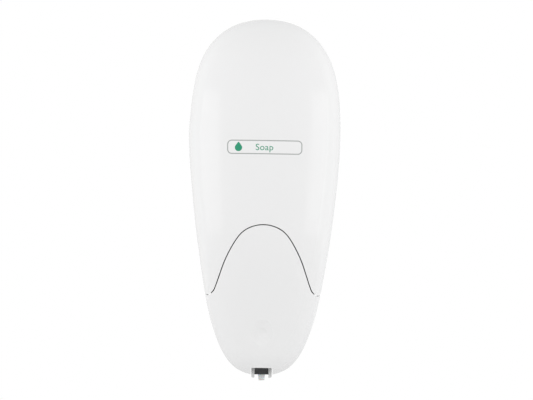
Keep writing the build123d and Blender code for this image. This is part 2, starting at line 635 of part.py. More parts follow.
SPRING_WIRE_D = 1.2
SPRING_D = 14.0
SPRING_TURNS = 4
SPRING_LOW = PISTON_Z[1] + SPRING_WIRE_D / 2
SPRING_HIGH = CYLINDER_Z[1] - 2 - SPRING_WIRE_D / 2
with BuildPart() as pump_spring:
    with BuildLine(Plane.XY.offset(SPRING_LOW)):
        with Locations((0, -PUMP_DEPTH, 0)):
            coil = Helix((SPRING_HIGH - SPRING_LOW) / SPRING_TURNS, SPRING_HIGH - SPRING_LOW,
                         SPRING_D / 2, center=(0, -PUMP_DEPTH, 0))
    with BuildSketch(Plane(origin=coil @ 0, z_dir=coil % 0)):
        Circle(SPRING_WIRE_D / 2)
    sweep(path=coil, is_frenet=True)
pump_spring.part.label = "pump_spring"
export_step(pump_spring.part, "parts/pump_spring.step")

# ---------------------------------------------------------------- piston body
with BuildPart() as pump_stem:
    add(tube(STEM_D, 4.0, NOZZLE_Z[1], PISTON_Z[1] - 1).part)
    add(tube(FLANGE_D, 4.0, *FLANGE_Z).part)
    fillet(pump_stem.edges().filter_by(lambda e: e.geom_type == GeomType.CIRCLE and e.radius > FLANGE_D / 2 - 0.1),
           0.8)
pump_stem.part.label = "pump_stem"
export_step(pump_stem.part, "parts/pump_stem.step")

with BuildPart() as piston_seal:
    add(tube(CYLINDER_BORE - 2 * RUNNING_CLEARANCE, STEM_D, PISTON_Z[0], PISTON_Z[1]).part)
    add(tube(STEM_D, 4.0, PISTON_Z[1] - 1, PISTON_Z[1]).part)
piston_seal.part.label = "piston_seal"
export_step(piston_seal.part, "parts/piston_seal.step")

NOZZLE_BORE_D = 3.0
VALVE_H = 2.0
NOZZLE_BARREL_Z = -138.0
with BuildPart() as nozzle_tip:
    with BuildSketch(Plane.XZ.offset(PUMP_DEPTH)):
        with BuildLine():
            Polyline((NOZZLE_BORE_D / 2, NOZZLE_Z[0]), (NOZZLE_TIP_D / 2, NOZZLE_Z[0]),
                     (NOZZLE_D / 2 - 0.5, NOZZLE_BARREL_Z), (NOZZLE_D / 2, NOZZLE_BARREL_Z + 1),
                     (NOZZLE_D / 2, NOZZLE_Z[1]), (3.0, NOZZLE_Z[1]), (3.0, NOZZLE_Z[1] - VALVE_H),
                     (NOZZLE_BORE_D / 2, NOZZLE_Z[1] - VALVE_H), (NOZZLE_BORE_D / 2, NOZZLE_Z[0]))
        make_face()
    revolve(axis=Axis((0, -PUMP_DEPTH, 0), (0, 0, 1)))
nozzle_tip.part.label = "nozzle_tip"
export_step(nozzle_tip.part, "parts/nozzle_tip.step")

with BuildPart() as outlet_valve:
    add(tube(6.0, 1.2, NOZZLE_Z[1] - VALVE_H, NOZZLE_Z[1]).part)
outlet_valve.part.label = "outlet_valve"
export_step(outlet_valve.part, "parts/outlet_valve.step")

# ---------------------------------------------------------------- bell crank
LIP_Z = FLANGE_Z[0] - LIP_GAP - LIP_R
LIP_X = STEM_D / 2 + PART_CLEARANCE + 0.2
HUB_R = 6.0
CRANK_TOP_Z = LEVER_Z + CRANK_RISE + CRANK_HALF
with BuildPart() as pump_lever:
    for side in BOTH:
        # Hub and fork arm.
        low, high = sorted((side * FORK_X[0], side * FORK_X[1]))
        with BuildSketch(Plane.YZ.offset(low)):
            with BuildLine():
                Polyline((-LEVER_DEPTH + 3, LEVER_Z - HUB_R + 0.8), (-PUMP_DEPTH, LIP_Z - LIP_R),
                         (-PUMP_DEPTH, LIP_Z + LIP_R), (-LEVER_DEPTH - 2, LEVER_Z + 3),
                         (-LEVER_DEPTH + 3, LEVER_Z + 3), (-LEVER_DEPTH + 3, LEVER_Z - HUB_R + 0.8))
            make_face()
            with Locations((-PUMP_DEPTH, LIP_Z)):
                Circle(LIP_R)
            with Locations((-LEVER_DEPTH, LEVER_Z)):
                Circle(HUB_R)
        extrude(amount=high - low)
        # Crank arm that the panel pushes.
        low, high = sorted((side * CRANK_X[0], side * CRANK_X[1]))
        with BuildSketch(Plane.YZ.offset(low)):
            with Locations((-LEVER_DEPTH, (LEVER_Z + CRANK_TOP_Z) / 2)):
                RectangleRounded(2 * CRANK_HALF, CRANK_TOP_Z - LEVER_Z, 2.5)
            with Locations((-LEVER_DEPTH, LEVER_Z)):
                Circle(HUB_R)
        extrude(amount=high - low)
    # Lips under the pump's flange, and the bar that joins the two sides.
    add(rod(LIP_R, PUMP_DEPTH, LIP_Z, LIP_X, FORK_X[1], BOTH).part)
    add(slab(-CRANK_X[0] - 0.5, CRANK_X[0] + 0.5, LEVER_DEPTH - CRANK_HALF, LEVER_DEPTH - CRANK_HALF + 3.5,
             LEVER_Z + 8, LEVER_Z + 16).part)
    with BuildSketch(Plane.YZ.offset(-BRACKET_X[1])):
        with Locations((-LEVER_DEPTH, LEVER_Z)):
            Circle(LEVER_PIN_D / 2 + RUNNING_CLEARANCE)
    extrude(amount=2 * BRACKET_X[1], mode=Mode.SUBTRACT)
pump_lever.part.label = "pump_lever"
export_step(pump_lever.part, "parts/pump_lever.step")

# ---------------------------------------------------------------- inner frame of the cover
SKIRT_INSET = WALL + SKIRT_GAP
EYE_X = (EAR_OUTER + EYE_GAP, EAR_OUTER + EYE_GAP + EYE_WIDTH)
with BuildPart() as inner_frame:
    add(egg_slab(SKIRT_INSET, *SKIRT_DEPTHS, BOTTOM_GAP).part)
    add(egg_slab(SKIRT_INSET + SKIRT_WALL, *SKIRT_DEPTHS, BOTTOM_GAP).part, mode=Mode.SUBTRACT)
    add(slab(-WIDTH, WIDTH, 0, DEPTH, FRAME_TOP_Z, HEIGHT).part, mode=Mode.SUBTRACT)
    # Room behind the bottom bridge for the plate's ears.
    add(slab(-EYE_X[0] + 0.4, EYE_X[0] - 0.4, 0, BRIDGE_DEPTH, -HEIGHT, -100).part, mode=Mode.SUBTRACT)
    # Cheeks that hold the panel's pivot pins.
    add(slab(*CHEEK_X, SKIRT_DEPTHS[1] - 14, PANEL_PIVOT_DEPTH + 7, PANEL_PIVOT_Z - 10, FRAME_TOP_Z, BOTH).part)
    fillet(inner_frame.edges().filter_by(Axis.X).group_by(Axis.Y)[0], 5)
    # Room round the cover's bosses, and a lug that bears on each.
    with BuildSketch(Plane.XZ.offset(SKIRT_DEPTHS[0] + FRAME_FLANGE)):
        with Locations(*FRAME_SCREW_SPOTS):
            Circle(FRAME_BOSS_R + PART_CLEARANCE)
    extrude(amount=SKIRT_DEPTHS[1], mode=Mode.SUBTRACT)
    with BuildSketch(Plane.XZ.offset(SKIRT_DEPTHS[0])):
        with Locations(*FRAME_SCREW_SPOTS):
            Circle(LUG_R)
    extrude(amount=FRAME_FLANGE)
    with BuildSketch(Plane.XZ.offset(SKIRT_DEPTHS[0])):
        with Locations(*FRAME_SCREW_SPOTS):
            Circle(SCREW_SHANK_D / 2)
    extrude(amount=FRAME_FLANGE, mode=Mode.SUBTRACT)
    # Hinge eyes on the pin.
    for side in BOTH:
        low, high = sorted((side * EYE_X[0], side * EYE_X[1]))
        with BuildSketch(Plane.YZ.offset(low)):
            with Locations((-HINGE_DEPTH, HINGE_Z)):
                Circle(HINGE_EYE_R)
            with BuildLine():
                Polyline((-HINGE_DEPTH, HINGE_Z), (-HINGE_DEPTH, HINGE_Z + 9), (-BRIDGE_DEPTH - 5, HINGE_Z + 9),
                         (-BRIDGE_DEPTH - 5, HINGE_Z + 5.5), (-BRIDGE_DEPTH + 0.8, HINGE_Z + 4.6),
                         (-HINGE_DEPTH - HINGE_EYE_R, HINGE_Z), (-HINGE_DEPTH, HINGE_Z))
            make_face()
        extrude(amount=high - low)
    with BuildSketch(Plane.YZ.offset(-WIDTH / 2)):
        with Locations((-HINGE_DEPTH, HINGE_Z)):
            Circle(HINGE_PIN_D / 2 + RUNNING_CLEARANCE)
    extrude(amount=WIDTH, mode=Mode.SUBTRACT)
    with BuildSketch(Plane.YZ.offset(-WIDTH / 2)):
        with Locations((-PANEL_PIVOT_DEPTH, PANEL_PIVOT_Z)):
            Circle(PIVOT_PIN_D / 2)
    extrude(amount=WIDTH, mode=Mode.SUBTRACT)
inner_frame.part.label = "inner_frame"
export_step(inner_frame.part, "parts/inner_frame.step")

frame_screws = screws(FRAME_SCREW_SPOTS, SKIRT_DEPTHS[0], 6.0, 2.0, SCREW_SHANK_D, FRAME_FLANGE + 9, -1)
frame_screws.part.label = "frame_screws"
export_step(frame_screws.part, "parts/frame_screws.step")

with BuildPart() as pivot_pins:
    add(rod(PIVOT_PIN_D / 2, PANEL_PIVOT_DEPTH, PANEL_PIVOT_Z, PIVOT_ARM_X[0] - 0.5, CHEEK_X[1], BOTH).part)
pivot_pins.part.label = "pivot_pins"
export_step(pivot_pins.part, "parts/pivot_pins.step")

# ---------------------------------------------------------------- yoke of the press panel
YOKE_HALF = 37.0
ARM_FOOT_X = (33.0, 37.0)
ARM_FOOT_DEPTHS = (62.0, 78.0)
PAD_X = (RIB_X[0] - 0.4, RIB_X[1] + 0.4)
PRESSER_GAP = 1.4            # the crank turns faster than the panel and closes on the ribs
RIB_REAR = LEVER_DEPTH + CRANK_HALF + PRESSER_GAP
with BuildPart() as press_yoke:
    add(slab(-YOKE_HALF, YOKE_HALF, *BAR_DEPTHS, *BAR_Z).part)
    for side in BOTH:
        with BuildSketch(Plane.XY.offset(BAR_Z[0])):
            with Locations((side * sum(ARM_FOOT_X) / 2, -sum(ARM_FOOT_DEPTHS) / 2)):
                Rectangle(ARM_FOOT_X[1] - ARM_FOOT_X[0], ARM_FOOT_DEPTHS[1] - ARM_FOOT_DEPTHS[0])
        extrude(amount=BAR_Z[1] - BAR_Z[0])
        with BuildPart(mode=Mode.PRIVATE) as arm:
            with BuildSketch(Plane.XY.offset(BAR_Z[1])):
                with Locations((side * sum(ARM_FOOT_X) / 2, -sum(ARM_FOOT_DEPTHS) / 2)):
                    Rectangle(ARM_FOOT_X[1] - ARM_FOOT_X[0], ARM_FOOT_DEPTHS[1] - ARM_FOOT_DEPTHS[0])
            with BuildSketch(Plane.XY.offset(PANEL_PIVOT_Z - 12)):
                with Locations((side * sum(PIVOT_ARM_X) / 2, -PANEL_PIVOT_DEPTH)):
                    Rectangle(PIVOT_ARM_X[1] - PIVOT_ARM_X[0], 11)
            loft(ruled=True)
            with BuildSketch(Plane.XY.offset(PANEL_PIVOT_Z - 12)):
                with Locations((side * sum(PIVOT_ARM_X) / 2, -PANEL_PIVOT_DEPTH)):
                    Rectangle(PIVOT_ARM_X[1] - PIVOT_ARM_X[0], 11)
            extrude(amount=12)
            add(rod(5.5, PANEL_PIVOT_DEPTH, PANEL_PIVOT_Z, side * PIVOT_ARM_X[0], side * PIVOT_ARM_X[1]).part)
        add(arm.part)
    add(slab(*RIB_X, RIB_REAR, BAR_DEPTHS[1], BAR_Z[0], BAR_Z[1] - 1, BOTH).part)
    add(slab(*PAD_X, RIB_REAR, RIB_REAR + 3, BAR_Z[0], BAR_Z[1] - 1, BOTH).part)
    add(body_form(WALL + 0.4).part, mode=Mode.INTERSECT)
    with BuildSketch(Plane.YZ.offset(-WIDTH / 2)):
        with Locations((-PANEL_PIVOT_DEPTH, PANEL_PIVOT_Z)):
            Circle(PIVOT_PIN_D / 2 + RUNNING_CLEARANCE)
    extrude(amount=WIDTH, mode=Mode.SUBTRACT)
    with BuildSketch(Plane.XZ.offset(BAR_DEPTHS[0])):
        with Locations((-BOSS_X, BOSS_Z), (BOSS_X, BOSS_Z)):
            Circle(SCREW_SHANK_D / 2)
    extrude(amount=BAR_DEPTHS[1] - BAR_DEPTHS[0], mode=Mode.SUBTRACT)
press_yoke.part.label = "press_yoke"
export_step(press_yoke.part, "parts/press_yoke.step")

yoke_screws = screws([(-BOSS_X, BOSS_Z), (BOSS_X, BOSS_Z)], BAR_DEPTHS[0], 6.0, 2.0, SCREW_SHANK_D, 8.0, -1)
yoke_screws.part.label = "yoke_screws"
export_step(yoke_screws.part, "parts/yoke_screws.step")

# ---------------------------------------------------------------- lock
SEAT_LOW_Z = LOCK_FLANGE_Z - LOCK_SEAT
with BuildPart() as lock_housing:
    add(tube(LOCK_FLANGE_D - 0.3, LOCK_PLUG_D + 2 * RUNNING_CLEARANCE, LOCK_FLANGE_Z, LOCK_TOP_Z,
             LOCK_DEPTH).part)
    fillet(lock_housing.faces().sort_by(Axis.Z)[-1].edges(), 0.5)
    add(tube(LOCK_SLEEVE_D, LOCK_PLUG_D + 2 * RUNNING_CLEARANCE, CAM_Z + CAM_THICK + 1, LOCK_FLANGE_Z,
             LOCK_DEPTH).part)
lock_housing.part.label = "lock_housing"
export_step(lock_housing.part, "parts/lock_housing.step")

NUT_H = 4.0
with BuildPart() as lock_nut:
    with BuildSketch(Plane.XY.offset(SEAT_LOW_Z - NUT_H)):
        with Locations((0, -LOCK_DEPTH)):
            RegularPolygon(13, 6)
            Circle(LOCK_SLEEVE_D / 2, mode=Mode.SUBTRACT)
    extrude(amount=NUT_H)
lock_nut.part.label = "lock_nut"
export_step(lock_nut.part, "parts/lock_nut.step")

PLUG_Z = (CAM_Z + CAM_THICK, LOCK_TOP_Z - 0.4)
CAM_SCREW_D = 4.0
CAM_SCREW_L = 7.0
with BuildPart() as lock_barrel:
    add(tube(LOCK_PLUG_D, 0, *PLUG_Z, LOCK_DEPTH).part)
    with BuildSketch(Plane.XY.offset(PLUG_Z[1])):
        with Locations((0, -LOCK_DEPTH)):
            Rectangle(7.5, 1.8)
    extrude(amount=-6, mode=Mode.SUBTRACT)
    with BuildSketch(Plane.XY.offset(PLUG_Z[0])):
        with Locations((0, -LOCK_DEPTH)):
            Circle(CAM_SCREW_D / 2)
    extrude(amount=CAM_SCREW_L, mode=Mode.SUBTRACT)
lock_barrel.part.label = "lock_barrel"
export_step(lock_barrel.part, "parts/lock_barrel.step")

with BuildPart() as lock_cam:
    with BuildSketch(Plane.XY.offset(CAM_Z)):
        with Locations((0, -LOCK_DEPTH)):
            Circle(LOCK_PLUG_D / 2)
        with BuildLine():
            Polyline((0, -LOCK_DEPTH - 5), (CAM_REACH, -LOCK_DEPTH - 2.5), (CAM_REACH, -LOCK_DEPTH + 2.5),
                     (0, -LOCK_DEPTH + 5), (0, -LOCK_DEPTH - 5))
        make_face()
        with Locations((0, -LOCK_DEPTH)):
            Circle(CAM_SCREW_D / 2, mode=Mode.SUBTRACT)
    extrude(amount=CAM_THICK)
    add(slab(CAM_REACH - CAM_THICK, CAM_REACH, LOCK_DEPTH - 2.5, LOCK_DEPTH + 2.5, CAM_Z, CAM_Z + 8).part)
lock_cam.part.label = "lock_cam"
export_step(lock_cam.part, "parts/lock_cam.step")

with BuildPart() as cam_screw:
    add(tube(7.5, 0, CAM_Z - 2.2, CAM_Z, LOCK_DEPTH).part)
    fillet(cam_screw.faces().sort_by(Axis.Z)[0].edges(), 0.7)
    add(tube(CAM_SCREW_D, 0, CAM_Z, CAM_Z + CAM_THICK + CAM_SCREW_L - 0.5, LOCK_DEPTH).part)
cam_screw.part.label = "cam_screw"
export_step(cam_screw.part, "parts/cam_screw.step")
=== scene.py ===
# %% [markdown]
# # A wall mounted soap dispenser
# The dispenser is an egg-shaped white cover with a press panel let into its lower half. The parts, their
# sizes and their joints come ready made as a fixed frame. This lesson gives every part its finish, prints
# the band on the cover, hangs a soft refill pouch inside, and lights the whole like a catalogue picture.
# Everything is in metres: +Z is up, the wall is at y = 0 and the front of the dispenser faces -Y.

# %% Load the frame
import json
import math

import bmesh
import bpy
from mathutils import Matrix, Vector
from mathutils.bvhtree import BVHTree


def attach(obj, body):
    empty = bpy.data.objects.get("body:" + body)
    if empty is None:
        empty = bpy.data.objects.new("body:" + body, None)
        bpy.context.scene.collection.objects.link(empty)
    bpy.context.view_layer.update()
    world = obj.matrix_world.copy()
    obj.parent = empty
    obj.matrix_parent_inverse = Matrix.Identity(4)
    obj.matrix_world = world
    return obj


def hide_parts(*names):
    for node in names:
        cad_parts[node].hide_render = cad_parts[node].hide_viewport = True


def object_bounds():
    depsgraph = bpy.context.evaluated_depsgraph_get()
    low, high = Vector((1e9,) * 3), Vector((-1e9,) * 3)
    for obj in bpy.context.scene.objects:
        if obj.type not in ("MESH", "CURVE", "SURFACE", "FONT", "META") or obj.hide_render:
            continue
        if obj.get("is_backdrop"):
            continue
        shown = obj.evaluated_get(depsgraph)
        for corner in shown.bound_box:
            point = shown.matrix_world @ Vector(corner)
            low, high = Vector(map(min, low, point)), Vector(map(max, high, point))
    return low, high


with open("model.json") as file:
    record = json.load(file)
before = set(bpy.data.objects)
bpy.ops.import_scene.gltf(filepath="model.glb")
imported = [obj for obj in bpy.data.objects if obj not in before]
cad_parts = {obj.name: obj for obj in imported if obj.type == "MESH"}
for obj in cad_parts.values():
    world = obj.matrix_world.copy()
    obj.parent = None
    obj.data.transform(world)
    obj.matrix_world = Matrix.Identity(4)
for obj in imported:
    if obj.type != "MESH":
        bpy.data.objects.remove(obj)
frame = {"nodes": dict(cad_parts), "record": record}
nodes = frame["nodes"]
cad_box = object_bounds()
MM = 0.001
print("parts in the frame:", len(nodes))

# %% [markdown]
# ## Camera
# The dispenser is seen straight from the front through a long lens, so its sides hardly converge. A long
# lens far away was chosen over an orthographic camera because a real studio lens keeps a trace of
# perspective. The frame leans a little, as a hand-held or slightly turned picture does.

# %% Camera
FRAME_WIDTH = 0.4296
DISTANCE = 2.5
SENSOR = 0.036
AIM_X = 0.0020
AIM_Z = -0.0018
ROLL = math.radians(0.85)
camera_data = bpy.data.cameras.new("camera")
camera_data.sensor_width = SENSOR * 1000
camera_data.lens = SENSOR * 1000 * (DISTANCE - 0.07) / FRAME_WIDTH
camera_data.clip_end = 50
camera = bpy.data.objects.new("camera", camera_data)
bpy.context.collection.objects.link(camera)
turn = Matrix.Rotation(math.radians(90), 4, "X") @ Matrix.Rotation(ROLL, 4, "Z")
camera.matrix_world = Matrix.Translation((AIM_X, -DISTANCE, AIM_Z)) @ turn
bpy.context.scene.camera = camera
bpy.context.scene.view_settings.view_transform = "Standard"
print("lens", round(camera_data.lens, 1), "mm at", DISTANCE, "m")

# %% [markdown]
# ## Helpers for shader graphs
# A material is a small graph of nodes. Two helpers keep the later cells short: one adds a node and sets
# its sockets, the other starts a material whose Principled BSDF keeps its constant values on its own
# sockets. Effects that several finishes share become node groups, each with named inputs and outputs.

# %% Helpers for shader graphs


def add_node(tree, kind, **sockets):
    """Adds a node and sets its input sockets by name, or by number written as n0, n1 and so on."""
    node = tree.nodes.new(kind)
    for name, value in sockets.items():
        key = int(name[1:]) if name[1:].isdigit() else name.replace("_", " ")
        node.inputs[key].default_value = value
    return node


def new_group(name, inputs, outputs):
    """Starts a node group. inputs and outputs map socket names to (kind, default)."""
    group = bpy.data.node_groups.new(name, "ShaderNodeTree")
    for label, (kind, default) in inputs.items():
        socket = group.interface.new_socket(name=label, in_out="INPUT", socket_type=kind)
        socket.default_value = default
    for label, kind in outputs.items():
        group.interface.new_socket(name=label, in_out="OUTPUT", socket_type=kind)
    return group, group.nodes.new("NodeGroupInput"), group.nodes.new("NodeGroupOutput")


def new_material(name, **sockets):
    """A material with its Principled BSDF, whose constant sockets are set by name."""
    material = bpy.data.materials.new(name)
    material.use_nodes = True
    shader = material.node_tree.nodes["Principled BSDF"]
    for label, value in sockets.items():
        shader.inputs[label.replace("_", " ")].default_value = value
    return material, material.node_tree, shader


def place_group(tree, group, **sockets):
    """Places a node group in a material with its own values."""
    node = tree.nodes.new("ShaderNodeGroup")
    node.node_tree = group
    for label, value in sockets.items():
        node.inputs[label.replace("_", " ")].default_value = value
    return node


def wire_bump(tree, shader, height, strength, distance):
    """Turns a height into a normal for the shader."""
    bump = add_node(tree, "ShaderNodeBump", Strength=strength, Distance=distance)
    tree.links.new(height, bump.inputs["Height"])
    tree.links.new(bump.outputs["Normal"], shader.inputs["Normal"])


COLOUR, VALUE = "NodeSocketColor", "NodeSocketFloat"
print("helpers ready")

# %% [markdown]
# ## Shared effect: moulded plastic
# Injection moulded plastic is never one flat colour. Its skin has a fine grain from the mould, very weak
# flow clouds in its colour, and patches where handling has polished or dulled it. All three could be
# painted on images, but procedural noise in object space needs no unwrapping and stays sharp from close
# by. The group gives a colour, a roughness and a grain height.

# %% Moulded plastic group


def build_moulded_skin():
    group, source, sink = new_group(
        "moulded_skin",
        {"Colour": (COLOUR, (0.8, 0.8, 0.8, 1)), "Shade": (COLOUR, (0.75, 0.75, 0.75, 1)),
         "Clouds": (VALUE, 0.3), "Roughness": (VALUE, 0.3), "Wear": (VALUE, 0.1),
         "Grain Scale": (VALUE, 2500.0)},
        {"Colour": COLOUR, "Roughness": VALUE, "Height": VALUE})
    link = group.links.new
    place = group.nodes.new("ShaderNodeTexCoord")
    cloud = add_node(group, "ShaderNodeTexNoise", Scale=18.0, Detail=3.0, Roughness=0.5)
    link(place.outputs["Object"], cloud.inputs["Vector"])
    amount = group.nodes.new("ShaderNodeMath")
    amount.operation = "MULTIPLY"
    link(cloud.outputs["Fac"], amount.inputs[0])
    link(source.outputs["Clouds"], amount.inputs[1])
    mix = group.nodes.new("ShaderNodeMix")
    mix.data_type = "RGBA"
    link(amount.outputs[0], mix.inputs[0])
    link(source.outputs["Colour"], mix.inputs[6])
    link(source.outputs["Shade"], mix.inputs[7])
    link(mix.outputs[2], sink.inputs["Colour"])
    rub = add_node(group, "ShaderNodeTexNoise", Scale=90.0, Detail=5.0, Roughness=0.65)
    link(place.outputs["Object"], rub.inputs["Vector"])
    centred = group.nodes.new("ShaderNodeMath")
    centred.operation = "SUBTRACT"
    centred.inputs[1].default_value = 0.5
    link(rub.outputs["Fac"], centred.inputs[0])
    rough = group.nodes.new("ShaderNodeMath")
    rough.operation = "MULTIPLY_ADD"
    rough.use_clamp = True
    link(centred.outputs[0], rough.inputs[0])
    link(source.outputs["Wear"], rough.inputs[1])
    link(source.outputs["Roughness"], rough.inputs[2])
    link(rough.outputs[0], sink.inputs["Roughness"])
    grain = add_node(group, "ShaderNodeTexNoise", Detail=2.0, Roughness=0.6)
    link(place.outputs["Object"], grain.inputs["Vector"])
    link(source.outputs["Grain Scale"], grain.inputs["Scale"])
    link(grain.outputs["Fac"], sink.inputs["Height"])
    return group


moulded_skin = build_moulded_skin()
print("group:", moulded_skin.name)

# %% [markdown]
# ## Shared effect: drawn and turned metal
# Pins are drawn and screws are turned, which leaves fine lines. Stretching a noise along one axis gives
# drawn lines, and a second, round noise breaks them up with dull spots of plating. One group serves all
# metal parts; the stretch is an input.

# %% Metal group


def build_drawn_metal():
    group, source, sink = new_group(
        "drawn_metal",
        {"Colour": (COLOUR, (0.6, 0.6, 0.62, 1)), "Spots": (COLOUR, (0.45, 0.46, 0.48, 1)),
         "Roughness": (VALUE, 0.3), "Line Scale": (VALUE, 900.0), "Stretch": (VALUE, 0.03)},
        {"Colour": COLOUR, "Roughness": VALUE, "Height": VALUE})
    link = group.links.new
    place = group.nodes.new("ShaderNodeTexCoord")
    parts = group.nodes.new("ShaderNodeSeparateXYZ")
    link(place.outputs["Object"], parts.inputs[0])
    along = group.nodes.new("ShaderNodeMath")
    along.operation = "MULTIPLY"
    link(parts.outputs["X"], along.inputs[0])
    link(source.outputs["Stretch"], along.inputs[1])
    joined = group.nodes.new("ShaderNodeCombineXYZ")
    link(along.outputs[0], joined.inputs["X"])
    link(parts.outputs["Y"], joined.inputs["Y"])
    link(parts.outputs["Z"], joined.inputs["Z"])
    lines = add_node(group, "ShaderNodeTexNoise", Detail=3.0, Roughness=0.7)
    link(joined.outputs[0], lines.inputs["Vector"])
    link(source.outputs["Line Scale"], lines.inputs["Scale"])
    spots = add_node(group, "ShaderNodeTexNoise", Scale=260.0, Detail=4.0, Roughness=0.6)
    link(place.outputs["Object"], spots.inputs["Vector"])
    patch = add_node(group, "ShaderNodeMapRange", n1=0.52, n2=0.68)
    link(spots.outputs["Fac"], patch.inputs[0])
    mix = group.nodes.new("ShaderNodeMix")
    mix.data_type = "RGBA"
    link(patch.outputs[0], mix.inputs[0])
    link(source.outputs["Colour"], mix.inputs[6])
    link(source.outputs["Spots"], mix.inputs[7])
    link(mix.outputs[2], sink.inputs["Colour"])
    rough = group.nodes.new("ShaderNodeMath")
    rough.operation = "MULTIPLY_ADD"
    rough.inputs[1].default_value = 0.22
    link(lines.outputs["Fac"], rough.inputs[0])
    link(source.outputs["Roughness"], rough.inputs[2])
    link(rough.outputs[0], sink.inputs["Roughness"])
    link(lines.outputs["Fac"], sink.inputs["Height"])
    return group


drawn_metal = build_drawn_metal()
print("group:", drawn_metal.name)

# %% [markdown]
# ## Plastic finishes
# The cover and panel are high gloss: low roughness, hardly any grain, and the faint orange peel of a
# polished mould. The structural parts are satin, with the fine spark-eroded grain that hides scratches.
# The pump uses natural, slightly milky plastic, which lets light a little way in. Each finish is one
# call with its own colours, so they are listed side by side.

# %% Plastic finishes


def plastic(name, colour, shade, roughness, wear, clouds, grain_scale, grain, **sockets):
    """A moulded plastic finish."""
    material, tree, shader = new_material(name, IOR=1.5, **sockets)
    skin = place_group(tree, moulded_skin, Colour=(*colour, 1), Shade=(*shade, 1), Clouds=clouds,
                       Roughness=roughness, Wear=wear, Grain_Scale=grain_scale)
    tree.links.new(skin.outputs["Colour"], shader.inputs["Base Color"])
    tree.links.new(skin.outputs["Roughness"], shader.inputs["Roughness"])
    wire_bump(tree, shader, skin.outputs["Height"], grain, 0.0001)
    return material


finishes = {
    "white_gloss": plastic("white_gloss", (0.90, 0.90, 0.90), (0.87, 0.872, 0.876), 0.16, 0.06, 0.5,
                           420.0, 0.05, Coat_Weight=0.25, Coat_Roughness=0.06),
    "label_print": plastic("label_print", (0.90, 0.90, 0.90), (0.88, 0.882, 0.885), 0.20, 0.08, 0.5,
                           600.0, 0.05),
    "white_satin": plastic("white_satin", (0.84, 0.84, 0.835), (0.79, 0.79, 0.785), 0.46, 0.18, 0.6,
                           2600.0, 0.35),
    "lock_grey": plastic("lock_grey", (0.60, 0.61, 0.62), (0.53, 0.54, 0.55), 0.40, 0.2, 0.6, 2600.0, 0.35),
    "natural_plastic": plastic("natural_plastic", (0.85, 0.86, 0.85), (0.78, 0.80, 0.79), 0.34, 0.15, 0.6,
                               900.0, 0.15, Subsurface_Weight=0.25, Subsurface_Scale=0.004),
    "pump_white": plastic("pump_white", (0.86, 0.86, 0.86), (0.80, 0.80, 0.80), 0.38, 0.15, 0.5, 1500.0,
                          0.2),
    "nozzle_clear": plastic("nozzle_clear", (0.80, 0.82, 0.82), (0.70, 0.73, 0.74), 0.22, 0.12, 0.7, 700.0,
                            0.1, Subsurface_Weight=0.3, Subsurface_Scale=0.003),
    "lever_grey": plastic("lever_grey", (0.55, 0.57, 0.59), (0.47, 0.49, 0.51), 0.42, 0.2, 0.6, 1800.0, 0.3),
    # The near-black rubber is the seals' own colour, and it is also painted shade: the dark guard set round
    # the nozzle in the notch stands for the shadow inside the opening.
    "seal_rubber": plastic("seal_rubber", (0.045, 0.045, 0.048), (0.09, 0.09, 0.09), 0.62, 0.3, 0.8, 1400.0,
                           0.4),
}
print("plastics:", len(finishes))

# %% [markdown]
# ## Metal finishes
# Zinc plated steel is bright but uneven, stainless steel is cleaner, and the lock plug is satin nickel.
# All three are the same graph with other colours and line widths.

# %% Metal finishes


def metal(name, colour, spots, roughness, line_scale, stretch, bump):
    """A drawn, turned or plated metal finish."""
    material, tree, shader = new_material(name, Metallic=1.0)
    skin = place_group(tree, drawn_metal, Colour=(*colour, 1), Spots=(*spots, 1), Roughness=roughness,
                       Line_Scale=line_scale, Stretch=stretch)
    tree.links.new(skin.outputs["Colour"], shader.inputs["Base Color"])
    tree.links.new(skin.outputs["Roughness"], shader.inputs["Roughness"])
    wire_bump(tree, shader, skin.outputs["Height"], bump, 0.00005)
    return material


finishes["zinc_steel"] = metal("zinc_steel", (0.66, 0.67, 0.69), (0.52, 0.53, 0.56), 0.22, 1500.0, 0.05, 0.3)
finishes["steel_ball"] = metal("steel_ball", (0.70, 0.70, 0.71), (0.62, 0.62, 0.64), 0.10, 2500.0, 1.0, 0.1)
finishes["lock_metal"] = metal("lock_metal", (0.72, 0.70, 0.67), (0.62, 0.60, 0.57), 0.18, 2200.0, 0.1, 0.2)
print("metals:", 3)

# %% [markdown]
# ## Pouch film
# The refill is a bag of thin laminated film, printed white on the inside, so it is glossy, slightly
# see-through and creased. A Fresnel node lifts the roughness a little where the film is seen edge-on,
# and a fine noise gives the small puckers that a filled bag shows between its large folds.

# %% Pouch film


def build_pouch_film():
    material, tree, shader = new_material("pouch_film", IOR=1.5, Subsurface_Weight=0.35,
                                          Subsurface_Scale=0.006, Coat_Weight=0.4, Coat_Roughness=0.12)
    skin = place_group(tree, moulded_skin, Colour=(0.82, 0.845, 0.87, 1), Shade=(0.70, 0.74, 0.79, 1),
                       Clouds=0.8, Roughness=0.24, Wear=0.2, Grain_Scale=220.0)
    fresnel = add_node(tree, "ShaderNodeFresnel", IOR=1.4)
    rough = tree.nodes.new("ShaderNodeMath")
    rough.operation = "MULTIPLY_ADD"
    rough.inputs[1].default_value = 0.2
    tree.links.new(fresnel.outputs["Fac"], rough.inputs[0])
    tree.links.new(skin.outputs["Roughness"], rough.inputs[2])
    tree.links.new(skin.outputs["Colour"], shader.inputs["Base Color"])
    tree.links.new(rough.outputs[0], shader.inputs["Roughness"])
    wire_bump(tree, shader, skin.outputs["Height"], 0.5, 0.0006)
    return material


finishes["pouch_film"] = build_pouch_film()
print("film ready")

# %% [markdown]
# ## Finishes onto the parts
# Every part of the frame names the finish it takes. Giving them by slot keeps a later repaint simple.

# %% Finishes onto the parts
slot_of = {entry["node"]: entry["material_slot"] for entry in frame["record"]["subparts"]}
for name, part in nodes.items():
    part.data.materials.clear()
    part.data.materials.append(finishes[slot_of[name]])
    part.data.polygons.foreach_set("material_index", [0] * len(part.data.polygons))
print("finished parts:", len(nodes))

